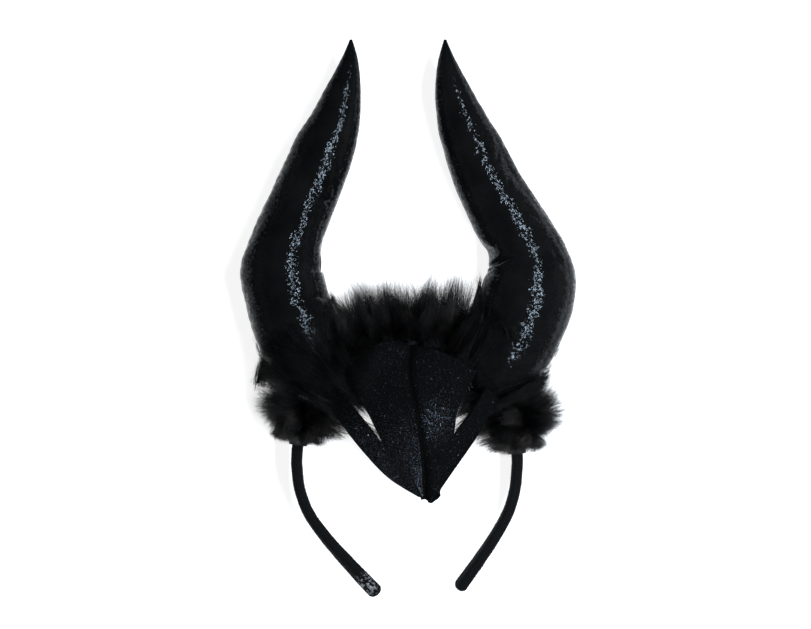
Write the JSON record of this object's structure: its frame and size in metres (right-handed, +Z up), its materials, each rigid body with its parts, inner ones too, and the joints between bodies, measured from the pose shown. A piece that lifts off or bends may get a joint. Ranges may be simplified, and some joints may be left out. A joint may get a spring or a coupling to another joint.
{
  "type": "devil horns headband",
  "caption": "Headband trimmed in long-pile fur, with tall stuffed devil horns that bow out and lean in to points, and a pointed felt peak that hangs over the forehead.",
  "frame": {"origin": "the middle of the whole's width and length, on the surface that it lies on", "axes": "+Z up from the back of the headband to its front, +Y from the ends of the arms to the tips of the horns, +X to the right for someone who looks at the front"},
  "size_m": [0.1883, 0.3124, 0.0559],
  "materials": {
    "band_velvet": "black short-pile velvet over a stiff core",
    "fur": "black long-pile fur, greyer and see-through at its tips",
    "horn_cloth": "glossy black foil-coated cloth with a fine crinkle",
    "peak_felt": "near-black felt strewn with fine bluish glitter"
  },
  "bodies": {
    "root": {"headband": "band_velvet", "fur_trim": "fur", "horn_left": "horn_cloth", "horn_right": "horn_cloth", "peak_left_panel": "peak_felt", "peak_right_panel": "peak_felt"}
  },
  "joints": []
}
